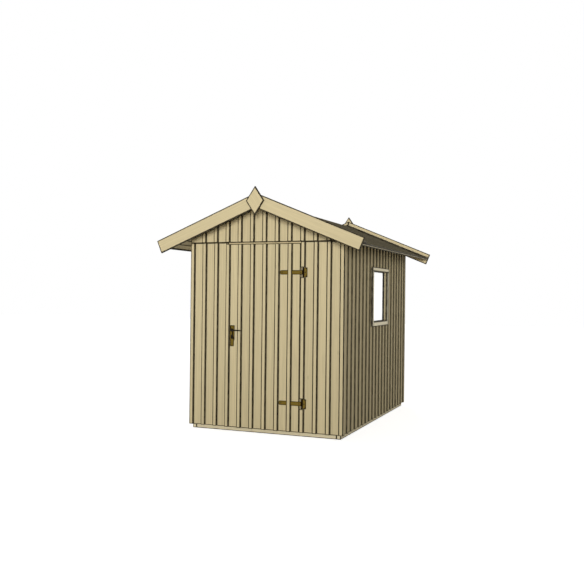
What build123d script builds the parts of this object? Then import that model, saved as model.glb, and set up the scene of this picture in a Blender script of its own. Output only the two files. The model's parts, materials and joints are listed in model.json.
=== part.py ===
from build123d import *
from math import cos, radians, sin, sqrt, tan
import os

# Garden shed of vertical boards and cover battens on a timber frame, in millimetres.
# X runs right along the door wall, Y from the door wall to the back, Z up.
# The origin is the centre of the footprint on the ground.

# Cladding
board_thickness = 16
batten_width = 45
batten_thickness = 16
front_pitch = 146
front_bays = 12
side_pitch = 140
side_bays = 19
cladding_bottom = 43
seat_gap = 0.3

# Frame timber
stud = 45
plate_depth = 90
butt_gap = 0.5
base_height = 95
deck_thickness = 19
joist_x = 289
side_stud_y = 832
rear_stud_x = 292
mid_rail_z = 1000

# Roof
roof_angle = 22.3
wall_top = 2098
gable_bottom = 2057
plate_below_roof = 11
eave_overhang = 230
verge_overhang = 228
roof_board_thickness = 18
verge_board_width = 145
verge_board_thickness = 20
eave_strip_width = 20
eave_strip_depth = 26
bargeboard_width = 144
bargeboard_thickness = 22
bargeboard_rise = 80
bargeboard_tail = 8
finial_height = 305
finial_width = 204
finial_drop = 6
ridge_depth = 145
rafter_depth = 70
rafter_y = 440

# Window in the right wall, between two cladding battens
window_bays = 5
window_height = 594
window_below_plate = 229
lining_thickness = 18
casing_width = 45
bottom_casing_width = 53
casing_thickness = 25
pane_thickness = 5
pane_recess = 45
gasket_depth = 20
gasket_width = 8

# Door leaf, from the cover batten on its left to the hinge batten on its right
latch_batten = 4
hinge_batten = 10
door_top_gap = 17
door_offset = 5
door_side_gap = 8
latch_side_gap = 6
door_lap = 20
ledge_width = 120
ledge_thickness = 20
ledge_gap = 8
bottom_ledge_z = 220
middle_ledge_below_spindle = 220
top_ledge_below_top = 200
brace_width = 95

# Tee hinges
hinge_heights = (345, 1731)
hinge_axis_inset = 24.5
hinge_metal = 3
strap_width = 46
strap_length = 268
strap_point = 14
flap_height = 103
flap_width = 47
knuckle_radius = 6
pin_radius = 3
pin_clearance = 0.3
knuckle_gap = 0.6
notch_gap = 2

# Lock plate, rim lock and lever handle
spindle_z = 1100
key_below_spindle = 65
backset = 56
plate_width = 58
plate_foot_width = 44
plate_height = 230
plate_above_spindle = 54
plate_shoulder_below_key = 20
plate_shoulder_height = 10
plate_corner = 7
lock_plate_thickness = 3
case_width = 90
case_height = 140
case_depth = 18
case_above_spindle = 40
case_left_of_spindle = 26
key_radius = 6.5
key_slot_width = 7
key_slot_length = 20
lever_length = 128
lever_standoff = 42
inner_standoff = 34
lever_radius = 8
lever_end_radius = 6
neck_radius = 7
hub_radius = 12
hub_length = 9
hub_gap = 0.6
spindle_radius = 4
spindle_clearance = 0.4

# Outer planes of the walls, worked out from the cladding
width = front_bays * front_pitch + batten_width
depth = side_bays * side_pitch + batten_width + 2 * batten_thickness
half_width = width / 2
half_depth = depth / 2
board_x = half_width - batten_thickness
board_y = half_depth - batten_thickness
frame_x = board_x - board_thickness
frame_y = board_y - board_thickness
stud_x = frame_x - stud / 2
stud_y = frame_y - stud / 2
inner_x = frame_x - stud
inner_y = frame_y - stud
floor_top = base_height + deck_thickness

# Roof slope
slope = radians(roof_angle)


def roof_under(x):
    """Height of the underside of the roof boards at x."""
    return wall_top + (half_width - abs(x)) * tan(slope)


def on_slope(along, above):
    """Point of the right slope, along it from the ridge and above the boards' underside."""
    x = along * cos(slope) + above * sin(slope)
    z = roof_under(0) - along * sin(slope) + above * cos(slope)
    return (x, z)


def at_ridge(above):
    """Point over the ridge where a layer above the boards' underside meets its mirror image."""
    return (0, roof_under(0) + above / cos(slope))


board_run = (half_width + eave_overhang) / cos(slope)
strip_run = board_run + eave_strip_width
barge_run = strip_run + bargeboard_tail
roof_top = roof_board_thickness
plate_top = roof_under(frame_x) - plate_below_roof
plate_bottom = plate_top - plate_depth
verge_y = half_depth + verge_overhang


def front_batten_x(number):
    """Centre of a front batten, counted from 1 at the left corner."""
    return -half_width + batten_width / 2 + (number - 1) * front_pitch


def side_batten_y(number):
    """Centre of a side batten, counted from 1 at the front corner."""
    return -board_y + batten_width / 2 + (number - 1) * side_pitch


# Door and hinge places
hinge_edge = front_batten_x(hinge_batten) - batten_width / 2
hinge_x = hinge_edge + hinge_axis_inset
leaf_left = front_batten_x(latch_batten)
leaf_right = hinge_edge - door_side_gap
leaf_top = gable_bottom - door_top_gap
leaf_face_y = -board_y - door_offset
leaf_back_y = leaf_face_y + board_thickness
hinge_y = leaf_face_y - hinge_metal / 2
left_post_x = leaf_left + door_lap - stud / 2
right_post_x = leaf_right - door_lap + stud / 2
spindle_x = leaf_left + backset
ledge_heights = (bottom_ledge_z, spindle_z - middle_ledge_below_spindle, leaf_top - top_ledge_below_top)

# Window places
window_half = window_bays * side_pitch / 2 - batten_width / 2 - lining_thickness
rough_half = window_half + lining_thickness
window_top = plate_bottom - window_below_plate
window_bottom = window_top - window_height
rough_bottom = window_bottom - lining_thickness
rough_top = window_top + lining_thickness
window_z = (window_bottom + window_top) / 2
rough_height = rough_top - rough_bottom
casing_x = half_width + casing_thickness
pane_x = casing_x - pane_recess - gasket_depth

# Base beams under the four walls, on the ground
with BuildPart() as base_beams:
    with BuildSketch():
        with Locations((-stud_x, 0), (stud_x, 0)):
            Rectangle(stud, 2 * frame_y)
        with Locations((0, -stud_y), (0, stud_y)):
            Rectangle(2 * (inner_x - butt_gap), stud)
    extrude(amount=base_height)

# Joists between the end beams
with BuildPart() as floor_joists:
    with BuildSketch():
        with Locations((-joist_x, 0), (joist_x, 0)):
            Rectangle(stud, 2 * inner_y)
    extrude(amount=base_height)

# Floor deck over the whole base
with BuildPart() as floor_deck:
    with BuildSketch(Plane.XY.offset(base_height)):
        Rectangle(2 * frame_x, 2 * frame_y)
    extrude(amount=deck_thickness)

# Sole plates of the wall frames, open at the doorway
front_plate_left = left_post_x - stud / 2 - butt_gap
front_plate_right = right_post_x + stud / 2 + butt_gap
plate_end = inner_x - butt_gap
with BuildPart() as sole_plates:
    with BuildSketch(Plane.XY.offset(floor_top)):
        with Locations((-stud_x, 0), (stud_x, 0)):
            Rectangle(stud, 2 * frame_y)
        with Locations((0, stud_y)):
            Rectangle(2 * plate_end, stud)
        with Locations(((-plate_end + front_plate_left) / 2, -stud_y)):
            Rectangle(plate_end + front_plate_left, stud)
        with Locations(((plate_end + front_plate_right) / 2, -stud_y)):
            Rectangle(plate_end - front_plate_right, stud)
    extrude(amount=stud)

# Corner posts and studs stand on the sole plates and carry the top plates
post_bottom = floor_top + stud
post_height = plate_bottom - post_bottom
with BuildPart() as corner_posts:
    with BuildSketch(Plane.XY.offset(post_bottom)):
        with GridLocations(2 * stud_x, 2 * stud_y, 2, 2):
            Rectangle(stud, stud)
    extrude(amount=post_height)

window_stud_y = rough_half + stud / 2
with BuildPart() as wall_studs:
    with BuildSketch(Plane.XY.offset(post_bottom)):
        with GridLocations(2 * stud_x, 2 * window_stud_y, 2, 2):
            Rectangle(stud, stud)
        with GridLocations(2 * stud_x, 2 * side_stud_y, 2, 2):
            Rectangle(stud, stud)
        with Locations((-rear_stud_x, stud_y), (rear_stud_x, stud_y)):
            Rectangle(stud, stud)
    extrude(amount=post_height)

# Door posts stand on the deck and stop the leaf
with BuildPart() as door_posts:
    with BuildSketch(Plane.XY.offset(floor_top)):
        with Locations((left_post_x, -stud_y), (right_post_x, -stud_y)):
            Rectangle(stud, stud)
    extrude(amount=plate_bottom - floor_top)


# Rails at mid height between posts and studs, which the vertical boards are nailed to
def rail_spans(stops):
    """Centre and length of the rail in each bay between neighbouring stud centres."""
    spans = []
    for start, end in zip(stops, stops[1:]):
        spans.append(((start + end) / 2, end - start - stud - 2 * butt_gap))
    return spans


left_stops = (-stud_y, -side_stud_y, -window_stud_y, window_stud_y, side_stud_y, stud_y)
right_stops = (left_stops[:3], left_stops[3:])
rear_stops = (-stud_x, -rear_stud_x, rear_stud_x, stud_x)
front_stops = ((-stud_x, left_post_x), (right_post_x, stud_x))
with BuildPart() as wall_rails:
    with BuildSketch(Plane.XY.offset(mid_rail_z)):
        for middle, length in rail_spans(left_stops):
            with Locations((-stud_x, middle)):
                Rectangle(stud, length)
        for stops in right_stops:
            for middle, length in rail_spans(stops):
                with Locations((stud_x, middle)):
                    Rectangle(stud, length)
        for middle, length in rail_spans(rear_stops):
            with Locations((middle, stud_y)):
                Rectangle(length, stud)
        for stops in front_stops:
            for middle, length in rail_spans(stops):
                with Locations((middle, -stud_y)):
                    Rectangle(length, stud)
    extrude(amount=stud)

# Trimmers over and under the window, between its two studs
with BuildPart() as window_trimmers:
    with BuildSketch(Plane.YZ.offset(inner_x)):
        with Locations((0, rough_bottom - stud / 2), (0, rough_top + stud / 2)):
            Rectangle(2 * (rough_half - butt_gap), stud)
    extrude(amount=stud)

# Top plates on all four walls; the front one is also the head of the doorway
with BuildPart() as top_plates:
    with BuildSketch(Plane.XY.offset(plate_bottom)):
        with Locations((-stud_x, 0), (stud_x, 0)):
            Rectangle(stud, 2 * frame_y)
        with Locations((0, -stud_y), (0, stud_y)):
            Rectangle(2 * plate_end, stud)
    extrude(amount=plate_depth)

# Ridge beam with a top bevelled to both slopes
ridge_half = stud / 2
with BuildPart() as ridge_beam:
    with BuildSketch(Plane.XZ.offset(-board_y)):
        with BuildLine():
            Polyline(
                (-ridge_half, roof_under(0) - ridge_depth),
                (ridge_half, roof_under(0) - ridge_depth),
                (ridge_half, roof_under(ridge_half)),
                (0, roof_under(0)),
                (-ridge_half, roof_under(ridge_half)),
                close=True,
            )
        make_face()
    extrude(amount=2 * board_y)

# Rafters birdsmouthed over the side plates, two pairs inside the shed
rafter_drop = rafter_depth / cos(slope)
rafter_outline = (
    (ridge_half, roof_under(ridge_half)),
    (frame_x, roof_under(frame_x)),
    (frame_x, plate_top),
    (inner_x, plate_top),
    (inner_x, roof_under(inner_x) - rafter_drop),
    (ridge_half, roof_under(ridge_half) - rafter_drop),
)
with BuildPart() as rafters:
    for y in (-rafter_y, rafter_y):
        with BuildSketch(Plane.XZ.offset(-y - stud / 2)):
            with BuildLine():
                Polyline(*rafter_outline, close=True)
            make_face()
        extrude(amount=stud)
    mirror(about=Plane.YZ)

# Gable rafters behind the gable boards, standing on the end plates
gable_foot_x = half_width - (plate_top + rafter_drop - wall_top) / tan(slope)
with BuildPart() as gable_rafters:
    with BuildSketch(Plane.XZ.offset(board_y - stud)):
        with BuildLine():
            Polyline(
                (ridge_half, roof_under(ridge_half)),
                (frame_x, roof_under(frame_x)),
                (frame_x, plate_top),
                (gable_foot_x, plate_top),
                (ridge_half, roof_under(ridge_half) - rafter_drop),
                close=True,
            )
        make_face()
    extrude(amount=stud)
    mirror(about=Plane.YZ)
    mirror(about=Plane.XZ)

# Lower boards of the front wall, beside the doorway
fixed_left = leaf_left - latch_side_gap
board_height = plate_top - cladding_bottom
with BuildPart() as front_wall:
    with BuildSketch(Plane.XY.offset(cladding_bottom)):
        with Locations(((-board_x + fixed_left) / 2, -frame_y - board_thickness / 2)):
            Rectangle(board_x + fixed_left, board_thickness)
        with Locations(((board_x + hinge_edge) / 2, -frame_y - board_thickness / 2)):
            Rectangle(board_x - hinge_edge, board_thickness)
    extrude(amount=board_height)

# Board over the doorway, which carries the lap of the gable there
head_left = fixed_left + butt_gap
head_right = hinge_edge - butt_gap
with BuildPart() as door_head_board:
    with BuildSketch(Plane.XY.offset(gable_bottom)):
        with Locations(((head_left + head_right) / 2, -frame_y - board_thickness / 2)):
            Rectangle(head_right - head_left, board_thickness)
    extrude(amount=plate_top - gable_bottom)

with BuildPart() as rear_wall:
    with BuildSketch(Plane.XY.offset(cladding_bottom)):
        with Locations((0, frame_y + board_thickness / 2)):
            Rectangle(2 * board_x, board_thickness)
    extrude(amount=board_height)

# Gable boards lap over the lower walls and follow the roof
gable_outline = (
    (-half_width, gable_bottom),
    (half_width, gable_bottom),
    (half_width, wall_top - seat_gap),
    (0, roof_under(0) - seat_gap),
    (-half_width, wall_top - seat_gap),
)
with BuildPart() as front_gable:
    with BuildSketch(Plane.XZ.offset(board_y)):
        with BuildLine():
            Polyline(*gable_outline, close=True)
        make_face()
    extrude(amount=batten_thickness)

with BuildPart() as rear_gable:
    with BuildSketch(Plane.XZ.offset(-half_depth)):
        with BuildLine():
            Polyline(*gable_outline, close=True)
        make_face()
    extrude(amount=batten_thickness)

# Side walls end under the roof boards
side_board_top = roof_under(board_x) - seat_gap
side_board_height = side_board_top - cladding_bottom
with BuildPart() as left_wall:
    with BuildSketch(Plane.XY.offset(cladding_bottom)):
        with Locations((-frame_x - board_thickness / 2, 0)):
            Rectangle(board_thickness, 2 * frame_y)
    extrude(amount=side_board_height)

# The right wall is split round the window: full-height ends, and panels under and over it
end_length = frame_y - rough_half
end_middle = (frame_y + rough_half) / 2
with BuildPart() as right_wall_ends:
    with BuildSketch(Plane.XY.offset(cladding_bottom)):
        with GridLocations(0, 2 * end_middle, 1, 2):
            with Locations((frame_x + board_thickness / 2, 0)):
                Rectangle(board_thickness, end_length)
    extrude(amount=side_board_height)

with BuildPart() as right_wall_middle:
    with BuildSketch(Plane.YZ.offset(frame_x)):
        with Locations((0, (cladding_bottom + rough_bottom) / 2)):
            Rectangle(2 * rough_half, rough_bottom - cladding_bottom)
        with Locations((0, (rough_top + side_board_top) / 2)):
            Rectangle(2 * rough_half, side_board_top - rough_top)
    extrude(amount=board_thickness)

# Cover battens of the front wall; the hinge batten is cut away for the hinge flaps
batten_height = gable_bottom - cladding_bottom
batten_middle = (gable_bottom + cladding_bottom) / 2
fixed_numbers = list(range(1, latch_batten)) + list(range(hinge_batten, front_bays + 2))
notch_height = flap_height + 2 * notch_gap
with BuildPart() as front_wall_battens:
    with BuildSketch(Plane.XZ.offset(board_y)):
        for number in fixed_numbers:
            with Locations((front_batten_x(number), batten_middle)):
                Rectangle(batten_width, batten_height)
        for height in hinge_heights:
            with Locations((front_batten_x(hinge_batten), height)):
                Rectangle(batten_width, notch_height, mode=Mode.SUBTRACT)
    extrude(amount=batten_thickness)

with BuildPart() as rear_wall_battens:
    with BuildSketch(Plane.XZ.offset(-half_depth)):
        for number in range(1, front_bays + 2):
            with Locations((front_batten_x(number), batten_middle)):
                Rectangle(batten_width, batten_height)
    extrude(amount=batten_thickness)

side_batten_top = wall_top - seat_gap
side_batten_height = side_batten_top - cladding_bottom
side_batten_middle = (side_batten_top + cladding_bottom) / 2
with BuildPart() as left_wall_battens:
    with BuildSketch(Plane.YZ.offset(-half_width)):
        for number in range(1, side_bays + 2):
            with Locations((side_batten_y(number), side_batten_middle)):
                Rectangle(batten_width, side_batten_height)
    extrude(amount=batten_thickness)

with BuildPart() as right_wall_battens:
    with BuildSketch(Plane.YZ.offset(board_x)):
        for number in range(1, side_bays + 2):
            with Locations((side_batten_y(number), side_batten_middle)):
                Rectangle(batten_width, side_batten_height)
        with Locations((0, window_z)):
            Rectangle(2 * rough_half, rough_height, mode=Mode.SUBTRACT)
    extrude(amount=batten_thickness)

# Gable battens stand over those below and are cut to the roof
with BuildPart() as gable_battens:
    with BuildSketch(Plane.XZ.offset(half_depth)):
        for number in range(2, front_bays + 1):
            x = front_batten_x(number)
            with Locations((x, (gable_bottom + roof_under(0)) / 2)):
                Rectangle(batten_width, roof_under(0) - gable_bottom)
        with BuildLine():
            Polyline(*gable_outline, close=True)
        make_face(mode=Mode.INTERSECT)
    extrude(amount=batten_thickness)
    mirror(about=Plane.XZ)

# Window lining through the wall: two jambs between head and sill
lining_depth = half_width - inner_x
with BuildPart() as window_lining:
    with BuildSketch(Plane.YZ.offset(inner_x)):
        with Locations((0, window_bottom - lining_thickness / 2), (0, window_top + lining_thickness / 2)):
            Rectangle(2 * rough_half, lining_thickness)
        with GridLocations(2 * (window_half + lining_thickness / 2), 0, 2, 1):
            with Locations((0, window_z)):
                Rectangle(lining_thickness, window_height - 2 * butt_gap)
    extrude(amount=lining_depth)

# Casings on the battens round the window: the head runs over the sides, the bottom fits between
casing_half = window_half + casing_width
side_casing_bottom = window_bottom - bottom_casing_width
side_casing_top = window_top - butt_gap
with BuildPart() as window_casings:
    with BuildSketch(Plane.YZ.offset(half_width)):
        with Locations((0, window_top + casing_width / 2)):
            Rectangle(2 * casing_half, casing_width)
        with Locations((0, window_bottom - bottom_casing_width / 2)):
            Rectangle(2 * (window_half - butt_gap), bottom_casing_width)
        with GridLocations(2 * (window_half + casing_width / 2), 0, 2, 1):
            with Locations((0, (side_casing_bottom + side_casing_top) / 2)):
                Rectangle(casing_width, side_casing_top - side_casing_bottom)
    extrude(amount=casing_thickness)

# Gasket frame that holds the pane in the lining
with BuildPart() as window_gasket:
    with BuildSketch(Plane.YZ.offset(pane_x)):
        with Locations((0, window_z)):
            Rectangle(2 * window_half, window_height)
            Rectangle(2 * (window_half - gasket_width), window_height - 2 * gasket_width, mode=Mode.SUBTRACT)
    extrude(amount=gasket_depth)

with BuildPart() as window_pane:
    with BuildSketch(Plane.YZ.offset(pane_x - pane_thickness)):
        with Locations((0, window_z)):
            Rectangle(2 * window_half - 2 * butt_gap, window_height - 2 * butt_gap)
    extrude(amount=pane_thickness)

# Roof boards of the two slopes, meeting on the ridge line
roof_board_outline = (
    at_ridge(0),
    on_slope(board_run, 0),
    on_slope(board_run, roof_top),
    at_ridge(roof_top),
)
with BuildPart() as right_roof_boards:
    with BuildSketch(Plane.XZ.offset(-verge_y)):
        with BuildLine():
            Polyline(*roof_board_outline, close=True)
        make_face()
    extrude(amount=2 * verge_y)

with BuildPart() as left_roof_boards:
    with BuildSketch(Plane.XZ.offset(-verge_y)):
        with BuildLine():
            Polyline(*roof_board_outline, close=True)
        make_face()
        mirror(about=Plane.YZ, mode=Mode.REPLACE)
    extrude(amount=2 * verge_y)

# Strips that close the eave edges
with BuildPart() as eave_strips:
    with BuildSketch(Plane.XZ.offset(-verge_y)):
        with BuildLine():
            Polyline(
                on_slope(board_run, roof_top),
                on_slope(strip_run, roof_top),
                on_slope(strip_run, roof_top - eave_strip_depth),
                on_slope(board_run, roof_top - eave_strip_depth),
                close=True,
            )
        make_face()
        mirror(about=Plane.YZ)
    extrude(amount=2 * verge_y)

# Flat verge boards on the roof boards along both gables
verge_top = roof_top + verge_board_thickness
with BuildPart() as verge_boards:
    with BuildSketch(Plane.XZ.offset(verge_y - verge_board_width)):
        with BuildLine():
            Polyline(
                on_slope(butt_gap, roof_top),
                on_slope(strip_run, roof_top),
                on_slope(strip_run, verge_top),
                on_slope(butt_gap + verge_board_thickness * tan(slope), verge_top),
                close=True,
            )
        make_face()
        mirror(about=Plane.YZ)
    extrude(amount=verge_board_width)
    mirror(about=Plane.XZ)

# Bargeboards, mitred at the ridge and square at the eaves
barge_low = bargeboard_rise - bargeboard_width
barge_outline = (
    at_ridge(bargeboard_rise),
    on_slope(barge_run, bargeboard_rise),
    on_slope(barge_run, barge_low),
    at_ridge(barge_low),
)
with BuildPart() as right_bargeboards:
    with BuildSketch(Plane.XZ.offset(verge_y)):
        with BuildLine():
            Polyline(*barge_outline, close=True)
        make_face()
    extrude(amount=bargeboard_thickness)
    mirror(about=Plane.XZ)

with BuildPart() as left_bargeboards:
    with BuildSketch(Plane.XZ.offset(verge_y)):
        with BuildLine():
            Polyline(*barge_outline, close=True)
        make_face()
        mirror(about=Plane.YZ, mode=Mode.REPLACE)
    extrude(amount=bargeboard_thickness)
    mirror(about=Plane.XZ)

# Diamond finials cover the bargeboard mitres
barge_middle = roof_under(0) + (bargeboard_rise + barge_low) / 2 / cos(slope)
finial_z = barge_middle - finial_drop
with BuildPart() as finials:
    with BuildSketch(Plane.XZ.offset(verge_y + bargeboard_thickness)):
        with BuildLine():
            Polyline(
                (0, finial_z + finial_height / 2),
                (finial_width / 2, finial_z),
                (0, finial_z - finial_height / 2),
                (-finial_width / 2, finial_z),
                close=True,
            )
        make_face()
    extrude(amount=bargeboard_thickness)
    mirror(about=Plane.XZ)

# Boards of the door leaf, cut for the spindle and the key
leaf_middle = (leaf_left + leaf_right) / 2
leaf_width = leaf_right - leaf_left
leaf_height = leaf_top - cladding_bottom
leaf_z = (leaf_top + cladding_bottom) / 2
key_z = spindle_z - key_below_spindle


def cut_keyhole():
    """Cuts a round hole with a slot under it out of the sketch in hand."""
    with Locations((spindle_x, key_z)):
        Circle(key_radius, mode=Mode.SUBTRACT)
    with Locations((spindle_x, key_z - key_slot_length / 2)):
        Rectangle(key_slot_width, key_slot_length, mode=Mode.SUBTRACT)


with BuildPart() as door_boards:
    with BuildSketch(Plane.XZ.offset(-leaf_back_y)):
        with Locations((leaf_middle, leaf_z)):
            Rectangle(leaf_width, leaf_height)
        with Locations((spindle_x, spindle_z)):
            Circle(hub_radius, mode=Mode.SUBTRACT)
        cut_keyhole()
    extrude(amount=board_thickness)

# Battens on the leaf; the first covers the gap to the wall, the last bridges the straps
door_numbers = range(latch_batten, hinge_batten)
strap_rebate = hinge_metal + seat_gap
with BuildPart() as door_battens:
    with BuildSketch(Plane.XZ.offset(-leaf_face_y)):
        for number in door_numbers:
            with Locations((front_batten_x(number), leaf_z)):
                Rectangle(batten_width, leaf_height)
    extrude(amount=batten_thickness)
    with BuildSketch(Plane.XZ.offset(-leaf_face_y)):
        for height in hinge_heights:
            with Locations((front_batten_x(hinge_batten - 1), height)):
                Rectangle(batten_width, strap_width + 2 * seat_gap)
    extrude(amount=strap_rebate, mode=Mode.SUBTRACT)

# Ledges across the back of the leaf, clear of the door posts
ledge_left = left_post_x + stud / 2 + ledge_gap
ledge_right = right_post_x - stud / 2 - ledge_gap
ledge_middle = (ledge_left + ledge_right) / 2
ledge_length = ledge_right - ledge_left
with BuildPart() as door_ledges:
    with BuildSketch(Plane.XZ.offset(-leaf_back_y)):
        for height in ledge_heights:
            with Locations((ledge_middle, height)):
                Rectangle(ledge_length, ledge_width)
    extrude(amount=-ledge_thickness)

# Braces rise from the hinge side to the latch side between the ledges
with BuildPart() as door_braces:
    with BuildSketch(Plane.XZ.offset(-leaf_back_y)):
        for low, high in zip(ledge_heights, ledge_heights[1:]):
            foot = low + ledge_width / 2
            head = high - ledge_width / 2
            rise = head - foot
            cut = brace_width * sqrt(1 + ((ledge_length - brace_width) / rise) ** 2)
            with BuildLine():
                Polyline(
                    (ledge_right, foot),
                    (ledge_left + cut, head),
                    (ledge_left, head),
                    (ledge_right - cut, foot),
                    close=True,
                )
            make_face()
    extrude(amount=-ledge_thickness)

# Flap of each tee hinge, on the wall, with the outer knuckles and the pin
flap_face = Plane.XZ.offset(board_y)
barrel_clear = knuckle_radius + knuckle_gap
middle_barrel = strap_width
outer_barrel = (flap_height - middle_barrel) / 2 - knuckle_gap
with BuildPart() as hinge_flaps:
    with BuildSketch(flap_face):
        for height in hinge_heights:
            with Locations((hinge_x + (flap_width + barrel_clear) / 2, height)):
                Rectangle(flap_width - barrel_clear, flap_height)
            with Locations((hinge_x + barrel_clear / 2, height + flap_height / 2 - outer_barrel / 2)):
                Rectangle(barrel_clear, outer_barrel)
            with Locations((hinge_x + barrel_clear / 2, height - flap_height / 2 + outer_barrel / 2)):
                Rectangle(barrel_clear, outer_barrel)
    extrude(amount=hinge_metal)
    for height in hinge_heights:
        with BuildSketch(Plane.XY.offset(height - flap_height / 2)):
            with Locations((hinge_x, hinge_y)):
                Circle(knuckle_radius)
        extrude(amount=outer_barrel)
        with BuildSketch(Plane.XY.offset(height + flap_height / 2 - outer_barrel)):
            with Locations((hinge_x, hinge_y)):
                Circle(knuckle_radius)
        extrude(amount=outer_barrel)
        with BuildSketch(Plane.XY.offset(height - flap_height / 2)):
            with Locations((hinge_x, hinge_y)):
                Circle(pin_radius)
        extrude(amount=flap_height)

# Strap of each tee hinge, on the leaf, with a pointed end and the middle knuckle
strap_tip = hinge_x - strap_length
with BuildPart() as hinge_straps:
    with BuildSketch(Plane.XZ.offset(-leaf_face_y)):
        for height in hinge_heights:
            with BuildLine():
                Polyline(
                    (hinge_x, height + strap_width / 2),
                    (strap_tip + strap_point, height + strap_width / 2),
                    (strap_tip, height),
                    (strap_tip + strap_point, height - strap_width / 2),
                    (hinge_x, height - strap_width / 2),
                    close=True,
                )
            make_face()
    extrude(amount=hinge_metal)
    for height in hinge_heights:
        with BuildSketch(Plane.XY.offset(height - strap_width / 2)):
            with Locations((hinge_x, hinge_y)):
                Circle(knuckle_radius)
        extrude(amount=strap_width)
    for height in hinge_heights:
        with BuildSketch(Plane.XY.offset(height - strap_width / 2)):
            with Locations((hinge_x, hinge_y)):
                Circle(pin_radius + pin_clearance)
        extrude(amount=strap_width, mode=Mode.SUBTRACT)

# Long plate outside, narrower below the keyhole
plate_head_z = spindle_z + plate_above_spindle
plate_foot_z = plate_head_z - plate_height
shoulder_z = key_z - key_slot_length - plate_shoulder_below_key
waist_z = shoulder_z - plate_shoulder_height
plate_half = plate_width / 2
foot_half = plate_foot_width / 2
with BuildPart() as lock_plate:
    with BuildSketch(Plane.XZ.offset(-leaf_face_y)):
        with BuildLine():
            Polyline(
                (spindle_x - plate_half, plate_head_z),
                (spindle_x + plate_half, plate_head_z),
                (spindle_x + plate_half, shoulder_z),
                (spindle_x + foot_half, waist_z),
                (spindle_x + foot_half, plate_foot_z),
                (spindle_x - foot_half, plate_foot_z),
                (spindle_x - foot_half, waist_z),
                (spindle_x - plate_half, shoulder_z),
                close=True,
            )
        make_face()
        fillet(vertices(), plate_corner)
        with Locations((spindle_x, spindle_z)):
            Circle(hub_radius, mode=Mode.SUBTRACT)
        cut_keyhole()
    extrude(amount=lock_plate_thickness)

# Rim lock inside, its bolt drawn back
case_middle_x = spindle_x - case_left_of_spindle + case_width / 2
case_middle_z = spindle_z + case_above_spindle - case_height / 2
with BuildPart() as lock_case:
    with BuildSketch(Plane.XZ.offset(-leaf_back_y)):
        with Locations((case_middle_x, case_middle_z)):
            Rectangle(case_width, case_height)
        with Locations((spindle_x, spindle_z)):
            Circle(spindle_radius + spindle_clearance, mode=Mode.SUBTRACT)
        cut_keyhole()
    extrude(amount=-case_depth)

# Outer lever with its hub in the plate and the spindle through the leaf
hub_hole = hub_radius - spindle_clearance
outer_axis_y = leaf_face_y - lever_standoff
case_face_y = leaf_back_y + case_depth
inner_axis_y = case_face_y + inner_standoff
spindle_end_y = inner_axis_y - lever_radius


def arm_outline(axis_y):
    """Half the outline of a lever arm with round ends, beside its own axis."""
    end_x = spindle_x + lever_length
    CenterArc((spindle_x, axis_y), lever_radius, 90, 90)
    Line((spindle_x, axis_y + lever_radius), (end_x, axis_y + lever_end_radius))
    CenterArc((end_x, axis_y), lever_end_radius, 0, 90)
    Line((end_x + lever_end_radius, axis_y), (spindle_x - lever_radius, axis_y))


with BuildPart() as outer_lever:
    with BuildSketch(Plane.XY.offset(spindle_z)):
        with BuildLine():
            arm_outline(outer_axis_y)
        make_face()
    revolve(axis=Axis((spindle_x, outer_axis_y, spindle_z), (1, 0, 0)))
    with BuildSketch(Plane.XZ.offset(-leaf_face_y)):
        with Locations((spindle_x, spindle_z)):
            Circle(neck_radius)
    extrude(amount=lever_standoff)
    with BuildSketch(Plane.XZ.offset(-leaf_face_y)):
        with Locations((spindle_x, spindle_z)):
            Circle(hub_hole)
    extrude(amount=hub_length)
    with BuildSketch(Plane.XZ.offset(-leaf_face_y)):
        with Locations((spindle_x, spindle_z)):
            Circle(spindle_radius)
    extrude(amount=leaf_face_y - spindle_end_y)

# Inner lever on the far end of the spindle
with BuildPart() as inner_lever:
    with BuildSketch(Plane.XY.offset(spindle_z)):
        with BuildLine():
            arm_outline(inner_axis_y)
        make_face()
    revolve(axis=Axis((spindle_x, inner_axis_y, spindle_z), (1, 0, 0)))
    with BuildSketch(Plane.XZ.offset(-inner_axis_y)):
        with Locations((spindle_x, spindle_z)):
            Circle(neck_radius)
    extrude(amount=inner_standoff - hub_gap)
    with BuildSketch(Plane.XZ.offset(-case_face_y - hub_gap)):
        with Locations((spindle_x, spindle_z)):
            Circle(hub_radius)
    extrude(amount=-hub_length)
    with BuildSketch(Plane.XZ.offset(-spindle_end_y)):
        with Locations((spindle_x, spindle_z)):
            Circle(spindle_radius)
    extrude(amount=spindle_end_y - case_face_y, mode=Mode.SUBTRACT)

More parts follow.
